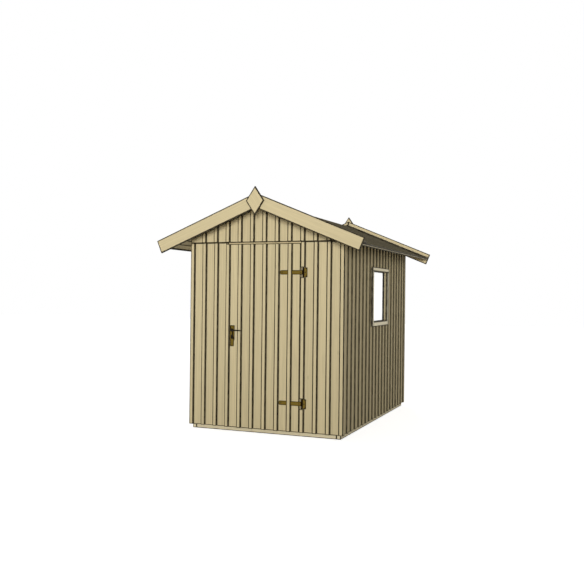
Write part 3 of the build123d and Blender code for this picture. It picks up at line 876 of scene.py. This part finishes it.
def passivated_steel():
    """Pressed steel, zinc plated and yellow passivated: olive gold, dull, with dark brown edges."""
    material, tree = new_material("yellow_passivated_steel")
    if tree is None:
        return material
    colour = colour_settings().steel
    place = add_node(tree, "ShaderNodeTexCoord")
    shade_and_lines = add_node(tree, "ShaderNodeAttribute", attribute_name="shade_and_lines")
    # The passivate film runs in soft clouds about 25 mm across
    film = add_node(
        tree,
        "ShaderNodeTexNoise",
        {"Vector": place.outputs["Object"], "Scale": 1 / 0.025, "Detail": 4.0, "Roughness": 0.6},
    )
    tone = add_node(
        tree,
        "ShaderNodeMix",
        {0: film.outputs["Fac"], 6: scaled(colour, 0.85), 7: scaled(colour, 1.15)},
        data_type="RGBA",
    )
    edged = add_node(
        tree,
        "ShaderNodeMix",
        {0: shade_and_lines.outputs["Fac"], 6: tone.outputs[2], 7: scaled(hex_colour("140E05"), 1)},
        data_type="RGBA",
    )
    rough = add_node(tree, "ShaderNodeMapRange", {0: film.outputs["Fac"], 1: 0.2, 2: 0.8, 3: 0.42, 4: 0.58})
    shader = add_node(
        tree,
        "ShaderNodeBsdfPrincipled",
        {"Base Color": edged.outputs[2], "Metallic": 1.0, "Roughness": rough.outputs[0]},
    )
    add_node(tree, "ShaderNodeOutputMaterial", {"Surface": shader.outputs[0]})
    return material


def enamelled_steel():
    """Black enamelled steel, stoved: deep black-brown with a soft sheen and a slight orange peel."""
    material, tree = new_material("stoved_black_enamel")
    if tree is None:
        return material
    place = add_node(tree, "ShaderNodeTexCoord")
    # Orange peel has cells about 1.2 mm across
    peel = add_node(
        tree, "ShaderNodeTexNoise", {"Vector": place.outputs["Object"], "Scale": 1 / 0.0012, "Detail": 1.0}
    )
    dust = add_node(
        tree, "ShaderNodeTexNoise", {"Vector": place.outputs["Object"], "Scale": 1 / 0.03, "Detail": 3.0}
    )
    colour = add_node(
        tree,
        "ShaderNodeMix",
        {0: dust.outputs["Fac"], 6: scaled(hex_colour("120D06"), 1), 7: scaled(hex_colour("1E170B"), 1)},
        data_type="RGBA",
    )
    bump = add_node(tree, "ShaderNodeBump", {"Strength": 0.25, "Distance": 0.1 * MM, "Height": peel.outputs["Fac"]})
    shader = add_node(
        tree,
        "ShaderNodeBsdfPrincipled",
        {
            "Base Color": colour.outputs[2],
            "Roughness": 0.5,
            "Specular IOR Level": 0.15,
            "Normal": bump.outputs[0],
        },
    )
    add_node(tree, "ShaderNodeOutputMaterial", {"Surface": shader.outputs[0]})
    return material


def galvanised_steel():
    """Hot-dip galvanised nails: dull grey that has darkened in the wood."""
    material, tree = new_material("galvanised_nail_steel")
    if tree is None:
        return material
    place = add_node(tree, "ShaderNodeTexCoord")
    spangle = add_node(tree, "ShaderNodeTexVoronoi", {"Vector": place.outputs["Object"], "Scale": 1 / 0.002})
    tone = add_node(
        tree,
        "ShaderNodeMix",
        {0: spangle.outputs["Distance"], 6: scaled(hex_colour("7E7866"), 1), 7: scaled(hex_colour("98917C"), 1)},
        data_type="RGBA",
    )
    shader = add_node(
        tree, "ShaderNodeBsdfPrincipled", {"Base Color": tone.outputs[2], "Metallic": 0.7, "Roughness": 0.6}
    )
    add_node(tree, "ShaderNodeOutputMaterial", {"Surface": shader.outputs[0]})
    return material


def studio_floor():
    """Matt painted studio floor: off-white, white to the camera, with the shed's shadow kept."""
    material, tree = new_material("matt_painted_floor")
    if tree is None:
        return material
    place = add_node(tree, "ShaderNodeTexCoord")
    mottle = add_node(
        tree, "ShaderNodeTexNoise", {"Vector": place.outputs["Object"], "Scale": 1 / 0.8, "Detail": 3.0}
    )
    paint = add_node(
        tree,
        "ShaderNodeMix",
        {0: mottle.outputs["Fac"], 6: scaled(hex_colour("F0F0EE"), 1), 7: scaled(hex_colour("F4F4F2"), 1)},
        data_type="RGBA",
    )
    matt = add_node(tree, "ShaderNodeBsdfDiffuse", {"Color": paint.outputs[2]})
    path = add_node(tree, "ShaderNodeLightPath")
    seen = add_node(
        tree,
        "ShaderNodeMath",
        {0: path.outputs["Is Camera Ray"], 1: path.outputs["Is Glossy Ray"]},
        operation="MAXIMUM",
    )
    seen_too = add_node(
        tree,
        "ShaderNodeMath",
        {0: seen.outputs[0], 1: path.outputs["Is Transmission Ray"]},
        operation="MAXIMUM",
    )
    lift = add_node(tree, "ShaderNodeMath", {0: seen_too.outputs[0], 1: FLOOR_LIFT}, operation="MULTIPLY")
    glow = add_node(
        tree, "ShaderNodeEmission", {"Color": (1.0, 1.0, 1.0, 1.0), "Strength": lift.outputs[0]}
    )
    both = add_node(tree, "ShaderNodeAddShader", {0: matt.outputs[0], 1: glow.outputs[0]})
    add_node(tree, "ShaderNodeOutputMaterial", {"Surface": both.outputs[0]})
    return material


# Operators, one for each piece or group of like pieces


class ShedBase(Operator):
    """Lays the base beams, the joists and the boards of the floor"""

    bl_idname = "shed.base"
    bl_label = "Lay base and floor"

    def execute(self, context):
        dress_timber("base_beams", planed_trim_wood(), "frame_timber", rim=timber_settings().rim)
        dress_timber("floor_joists", frame_wood(), "frame_timber")
        settings = timber_settings()
        deck = solids_of("floor_deck")[0]
        boards = saw(deck, X_AXIS, even_cuts(deck, X_AXIS, settings.deck_board_width), settings.board_gap)
        deck.free()
        for board in boards:
            outline(board, settings.frame_rim, settings.arris)
            ease(board, settings.arris)
        piece = stack("boards_floor_deck", boards, "floor_deck", grain=Y_AXIS)
        settle(piece, frame_wood(), "frame_timber", "shed", "floor_deck")
        return {"FINISHED"}


class ShedWallFrame(Operator):
    """Raises the plates, posts, studs, rails and trimmers of the wall frames"""

    bl_idname = "shed.wall_frame"
    bl_label = "Raise wall frame"

    def execute(self, context):
        nodes = (
            "sole_plates",
            "corner_posts",
            "wall_studs",
            "door_posts",
            "wall_rails",
            "window_trimmers",
            "top_plates",
        )
        for node in nodes:
            dress_timber(node, frame_wood(), "frame_timber")
        return {"FINISHED"}


class ShedRoofFrame(Operator):
    """Sets up the ridge beam and the rafters"""

    bl_idname = "shed.roof_frame"
    bl_label = "Set up roof frame"

    def execute(self, context):
        for node in ("ridge_beam", "rafters", "gable_rafters"):
            dress_timber(node, frame_wood(), "frame_timber")
        return {"FINISHED"}


class ShedWallBoards(Operator):
    """Nails up the vertical boards of the four walls"""

    bl_idname = "shed.wall_boards"
    bl_label = "Board the walls"

    def execute(self, context):
        front = batten_lines("front_wall_battens", X_AXIS) + batten_lines("door_battens", X_AXIS)
        rear = batten_lines("rear_wall_battens", X_AXIS)
        gable_shadows = gable_shadow_stripes()
        board_wall("front_wall", X_AXIS, -Y_AXIS, front, stripes=gable_shadows)
        board_wall("door_head_board", X_AXIS, -Y_AXIS, batten_lines("door_battens", X_AXIS)[1:], stripes=gable_shadows)
        board_wall("rear_wall", X_AXIS, Y_AXIS, rear, stripes=gable_shadows)
        board_wall("left_wall", Y_AXIS, -X_AXIS, batten_lines("left_wall_battens", Y_AXIS))
        right = batten_lines("right_wall_battens", Y_AXIS)
        board_wall("right_wall_ends", Y_AXIS, X_AXIS, right)
        board_wall("right_wall_middle", Y_AXIS, X_AXIS, right)
        return {"FINISHED"}


class ShedGables(Operator):
    """Nails up the boards of both gables, which lap over the walls below"""

    bl_idname = "shed.gables"
    bl_label = "Board the gables"

    def execute(self, context):
        lines = batten_lines("gable_battens", X_AXIS, keep=lambda middle: middle.y < 0)
        board_wall("front_gable", X_AXIS, -Y_AXIS, lines)
        board_wall("rear_gable", X_AXIS, Y_AXIS, lines)
        return {"FINISHED"}


class ShedBattens(Operator):
    """Nails the cover battens over the joints of the boards"""

    bl_idname = "shed.battens"
    bl_label = "Nail on battens"

    def execute(self, context):
        wood = planed_batten_wood()
        rim = timber_settings().rim
        for node in ("front_wall_battens", "rear_wall_battens"):
            dress_timber(node, wood, "cover_battens", rim=rim, stripes=gable_shadow_stripes())
        for node in ("left_wall_battens", "right_wall_battens"):
            dress_timber(node, wood, "cover_battens", rim=rim, narrow_shade=SIDE_BATTEN_SHADE)
        dress_timber("gable_battens", wood, "cover_battens", rim=rim)
        return {"FINISHED"}


class ShedNails(Operator):
    """Drives the nails through the battens into plates, rails and ledges"""

    bl_idname = "shed.nails"
    bl_label = "Drive nails"

    def execute(self, context):
        walls = (
            ("front", "front_wall_battens", -Y_AXIS, "shed"),
            ("rear", "rear_wall_battens", Y_AXIS, "shed"),
            ("left", "left_wall_battens", -X_AXIS, "shed"),
            ("right", "right_wall_battens", X_AXIS, "shed"),
            ("door", "door_battens", -Y_AXIS, "door"),
        )
        rail_low, rail_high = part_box("wall_rails")
        sole_low, sole_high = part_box("sole_plates")
        plate_low, plate_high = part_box("top_plates")
        wall_heights = [(sole_low.z + sole_high.z) / 2, (rail_low.z + rail_high.z) / 2, plate_high.z - 60 * MM]
        ledge_heights = [middle_of(ledge).z for ledge in solids_of("door_ledges")]
        radius = timber_settings().nail_radius
        for side, node, facing, body in walls:
            heights = ledge_heights if body == "door" else wall_heights
            places = []
            for batten in solids_of(node):
                middle = middle_of(batten)
                low, high = span_of(batten, Z_AXIS)
                face = span_of(batten, facing)[1]
                for height in heights:
                    if low + 20 * MM < height < high - 5 * MM:
                        place = middle - facing * middle.dot(facing) + facing * (face - 0.2 * MM)
                        place.z = height
                        places.append(place)
                batten.free()
            dome_heads(
                "nails_" + side, places, facing, radius, 0.6 * MM, 8, galvanised_steel(), "black_steel", body
            )
        return {"FINISHED"}


class ShedWindow(Operator):
    """Fits the lining, casings, gasket and pane of the window"""

    bl_idname = "shed.window"
    bl_label = "Fit window"

    def execute(self, context):
        settings = timber_settings()
        dress_timber(
            "window_lining", planed_batten_wood(), "frame_timber", limit=LINING_LIMIT, narrow_shade=LINING_SHADE
        )
        dress_timber("window_casings", pale_casing_wood(), "trim_boards", rim=settings.rim, limit=CASING_LIMIT)
        for node, material in (("window_gasket", black_rubber_recess_shade()), ("window_pane", opal_acrylic())):
            dress_cad_node(node, material)
        return {"FINISHED"}


class ShedRoofBoards(Operator):
    """Lays the roof boards from gable to gable on both slopes"""

    bl_idname = "shed.roof_boards"
    bl_label = "Board the roof"

    def execute(self, context):
        settings = timber_settings()
        for node in ("left_roof_boards", "right_roof_boards"):
            slab = solids_of(node)[0]
            down = slope_of(slab)
            boards = saw(slab, down, even_cuts(slab, down, settings.roof_board_width), settings.roof_board_gap)
            slab.free()
            for board in boards:
                outline(board, settings.rim, settings.arris)
                ease(board, settings.arris)
                score(board, Y_AXIS, verge_stripes(), Z_AXIS)
                shade_roof_tops(board)
            piece = stack("boards_" + node, boards, node, grain=Y_AXIS)
            settle(piece, roof_board_wood(), "roof_boards", "shed", node)
        return {"FINISHED"}


class ShedRoofTrim(Operator):
    """Fixes the eave strips, verge boards, bargeboards and finials"""

    bl_idname = "shed.roof_trim"
    bl_label = "Fix roof trim"

    def execute(self, context):
        settings = timber_settings()
        for node in ("eave_strips", "verge_boards"):
            dress_timber(node, planed_trim_wood(), "trim_boards", rim=settings.trim_rim, limit=settings.arris)
        for node in ("left_bargeboards", "right_bargeboards", "finials"):
            dress_timber(node, planed_batten_wood(), "trim_boards", rim=settings.trim_rim)
        return {"FINISHED"}


class ShedDoor(Operator):
    """Builds the leaf: boards, battens, ledges and braces"""

    bl_idname = "shed.door"
    bl_label = "Build door"

    def execute(self, context):
        board_wall("door_boards", X_AXIS, -Y_AXIS, batten_lines("door_battens", X_AXIS), body="door")
        dress_timber("door_battens", planed_batten_wood(), "cover_battens", body="door", rim=timber_settings().rim)
        dress_timber("door_ledges", frame_wood(), "frame_timber", body="door")
        dress_timber("door_braces", frame_wood(), "frame_timber", body="door")
        return {"FINISHED"}


class ShedHinges(Operator):
    """Finishes the tee hinges and drives their screws"""

    bl_idname = "shed.hinges"
    bl_label = "Fit hinges"

    def execute(self, context):
        press_steel("hinge_flaps", "shed")
        press_steel("hinge_straps", "door")
        axis = frame["joints"][0]["pos_m"][0]
        wall_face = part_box("hinge_flaps")[0].y + KNUCKLE_STAND_OFF
        leaf_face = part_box("hinge_straps")[0].y + KNUCKLE_STAND_OFF
        flap_screws, strap_screws = [], []
        for flap in solids_of("hinge_flaps"):
            height = middle_of(flap).z
            for run, lift in FLAP_SCREWS:
                flap_screws.append(Vector((axis + run, wall_face, height + lift)))
            flap.free()
        for strap in solids_of("hinge_straps"):
            tip = span_of(strap, X_AXIS)[0]
            height = middle_of(strap).z
            for place in (tip + TIP_SCREW, axis - AXIS_SCREW):
                strap_screws.append(Vector((place, leaf_face, height)))
            strap.free()
        for name, places, body in (("flap_screws", flap_screws, "shed"), ("strap_screws", strap_screws, "door")):
            dome_heads(
                name, places, -Y_AXIS, 6 * MM, 1.8 * MM, 16, enamelled_steel(), "black_steel", body
            )
        return {"FINISHED"}


class ShedLock(Operator):
    """Finishes the lock plate, the rim lock and both levers"""

    bl_idname = "shed.lock"
    bl_label = "Fit lock"

    def execute(self, context):
        press_steel("lock_plate", "door")
        for node in ("lock_case", "outer_lever", "inner_lever"):
            dress_cad_node(node, enamelled_steel())
        low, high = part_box("lock_plate")
        keyhole_lip(low.y)
        inset = 9 * MM
        places = [
            Vector(((low.x + high.x) / 2, low.y, height)) for height in (low.z + inset, high.z - inset)
        ]
        dome_heads(
            "plate_screws", places, -Y_AXIS, 3.6 * MM, 1.4 * MM, 12, enamelled_steel(), "black_steel", "door"
        )
        return {"FINISHED"}


def keyhole_lip(face):
    """Pressed rim round the keyhole of the lock plate: a flat oval ring that stands just proud."""
    axis = frame["joints"][1]["pos_m"]
    centre = Vector((axis[0], face, axis[2] - KEYHOLE_DROP))
    ring = bmesh.new()
    loops = []
    for radius, stretch, rise in LIP_RINGS:
        loop = []
        for i in range(LIP_POINTS):
            turn = 2 * pi * (i + 0.5) / LIP_POINTS
            lift = stretch if sin(turn) > 0 else -stretch
            loop.append(ring.verts.new(centre + Vector((radius * cos(turn), -rise, radius * sin(turn) + lift))))
        loops.append(loop)
    for inner, outer in zip(loops, loops[1:] + loops[:1]):
        for i in range(LIP_POINTS):
            j = (i + 1) % LIP_POINTS
            ring.faces.new((inner[i], inner[j], outer[j], outer[i]))
    bmesh.ops.recalc_face_normals(ring, faces=ring.faces)
    mesh = bpy.data.meshes.new("keyhole_lip")
    ring.to_mesh(mesh)
    ring.free()
    piece = bpy.data.objects.new("keyhole_lip", mesh)
    bpy.context.scene.collection.objects.link(piece)
    settle(piece, enamelled_steel(), "black_steel", "door")


class ShedStage(Operator):
    """Sets up the floor, the soft light and the camera"""

    bl_idname = "shed.stage"
    bl_label = "Set up stage"

    def execute(self, context):
        settings = stage_settings()
        lay_floor(settings.floor_size)
        light_room(settings)
        place_camera(settings)
        context.scene.view_settings.view_transform = "Standard"
        return {"FINISHED"}


def press_steel(node, body):
    """Gives the steel plates of a node their dark edges and their finish."""
    plates = solids_of(node)
    for plate in plates:
        outline(plate, STEEL_RIM, STEEL_NARROW)
    piece = stack("pressed_" + node, plates, node)
    settle(piece, passivated_steel(), "passivated_steel", body, node)


def dress_cad_node(node, material):
    """Gives a CAD node, whose shape is right as it is, its finish."""
    mesh = frame["nodes"][node].data
    for i in range(len(mesh.materials)):
        mesh.materials[i] = material


def slope_of(slab):
    """Direction down the slope of a roof slab, away from the ridge."""
    face = max(slab.faces, key=lambda face: face.calc_area() * max(face.normal.z, 0))
    side = 1 if face.normal.x > 0 else -1
    return Vector((face.normal.z, 0, -face.normal.x)) * side


def lay_floor(size):
    """Flat floor under the shed."""
    mesh = bpy.data.meshes.new("floor")
    plane = bmesh.new()
    bmesh.ops.create_grid(plane, x_segments=4, y_segments=4, size=size / 2)
    plane.to_mesh(mesh)
    plane.free()
    floor = bpy.data.objects.new("studio_floor", mesh)
    floor.location.z = -0.5 * MM
    bpy.context.scene.collection.objects.link(floor)
    mesh.materials.append(studio_floor())


def light_room(settings):
    """Even light from all round, a large soft light in front on the right and a weaker one behind."""
    world = bpy.data.worlds.new("white_room")
    world.use_nodes = True
    tree = world.node_tree
    tree.nodes.clear()
    path = add_node(tree, "ShaderNodeLightPath")
    seen = add_node(
        tree,
        "ShaderNodeMath",
        {0: path.outputs["Is Camera Ray"], 1: path.outputs["Is Glossy Ray"]},
        operation="MAXIMUM",
    )
    seen_too = add_node(
        tree,
        "ShaderNodeMath",
        {0: seen.outputs[0], 1: path.outputs["Is Transmission Ray"]},
        operation="MAXIMUM",
    )
    strength = add_node(
        tree, "ShaderNodeMapRange", {0: seen_too.outputs[0], 1: 0.0, 2: 1.0, 3: settings.sky, 4: 1.0}
    )
    sky = add_node(
        tree, "ShaderNodeBackground", {"Color": (1.0, 1.0, 1.0, 1.0), "Strength": strength.outputs[0]}
    )
    add_node(tree, "ShaderNodeOutputWorld", {"Surface": sky.outputs[0]})
    bpy.context.scene.world = world
    hang_light("soft_key", settings.key, settings.key_side, settings.key_height, settings.key_softness)
    hang_light("soft_fill", settings.fill, radians(FILL_SIDE), radians(FILL_HEIGHT), radians(FILL_SOFTNESS))


def hang_light(name, strength, side, height, softness):
    """Distant soft light, to the right of straight in front by the side angle and above by the height."""
    lamp = bpy.data.lights.new(name, "SUN")
    lamp.energy = strength
    lamp.angle = softness
    light = bpy.data.objects.new(name, lamp)
    travel = Vector((-sin(side) * cos(height), cos(side) * cos(height), -sin(height)))
    light.rotation_euler = travel.to_track_quat("-Z", "Y").to_euler()
    bpy.context.scene.collection.objects.link(light)


def place_camera(settings):
    """Camera at the photograph's angle."""
    data = bpy.data.cameras.new("photo_camera")
    data.sensor_width = 36
    data.lens = settings.lens
    camera = bpy.data.objects.new("photo_camera", data)
    yaw, pitch, roll = settings.camera_yaw, settings.camera_pitch, settings.camera_roll
    ahead = Vector((-sin(yaw) * cos(pitch), cos(yaw) * cos(pitch), sin(pitch)))
    right = Vector((cos(yaw), sin(yaw), 0))
    up = right.cross(ahead)
    leaned_right = right * cos(roll) + up * sin(roll)
    leaned_up = up * cos(roll) - right * sin(roll)
    turn = Matrix((leaned_right, leaned_up, -ahead)).transposed()
    camera.matrix_world = Matrix.Translation(settings.camera_place) @ turn.to_4x4()
    bpy.context.scene.collection.objects.link(camera)
    bpy.context.scene.camera = camera


class SHED_PT_build(Panel):
    """Sizes, colours and steps of the shed"""

    bl_label = "Garden shed"
    bl_space_type = "VIEW_3D"
    bl_region_type = "UI"
    bl_category = "Shed"

    def draw(self, context):
        layout = self.layout
        for group in (context.scene.shed_timber, context.scene.shed_colours, context.scene.shed_stage):
            box = layout.box()
            for name in group.__annotations__:
                box.prop(group, name)
        for step in STEPS:
            layout.operator(step.bl_idname)


STEPS = (
    ShedBase,
    ShedWallFrame,
    ShedRoofFrame,
    ShedWallBoards,
    ShedGables,
    ShedBattens,
    ShedNails,
    ShedWindow,
    ShedRoofBoards,
    ShedRoofTrim,
    ShedDoor,
    ShedHinges,
    ShedLock,
    ShedStage,
)
CLASSES = (ShedTimberSettings, ShedColourSettings, ShedStageSettings) + STEPS + (SHED_PT_build,)


def register():
    for cls in CLASSES:
        bpy.utils.register_class(cls)
    bpy.types.Scene.shed_timber = PointerProperty(type=ShedTimberSettings)
    bpy.types.Scene.shed_colours = PointerProperty(type=ShedColourSettings)
    bpy.types.Scene.shed_stage = PointerProperty(type=ShedStageSettings)


def unregister():
    del bpy.types.Scene.shed_timber
    del bpy.types.Scene.shed_colours
    del bpy.types.Scene.shed_stage
    for cls in reversed(CLASSES):
        bpy.utils.unregister_class(cls)


def main():
    register()
    bpy.ops.shed.base()
    bpy.ops.shed.wall_frame()
    bpy.ops.shed.roof_frame()
    bpy.ops.shed.wall_boards()
    bpy.ops.shed.gables()
    bpy.ops.shed.battens()
    bpy.ops.shed.nails()
    bpy.ops.shed.window()
    bpy.ops.shed.roof_boards()
    bpy.ops.shed.roof_trim()
    bpy.ops.shed.door()
    bpy.ops.shed.hinges()
    bpy.ops.shed.lock()
    bpy.ops.shed.stage()


if __name__ == "__main__":
    main()
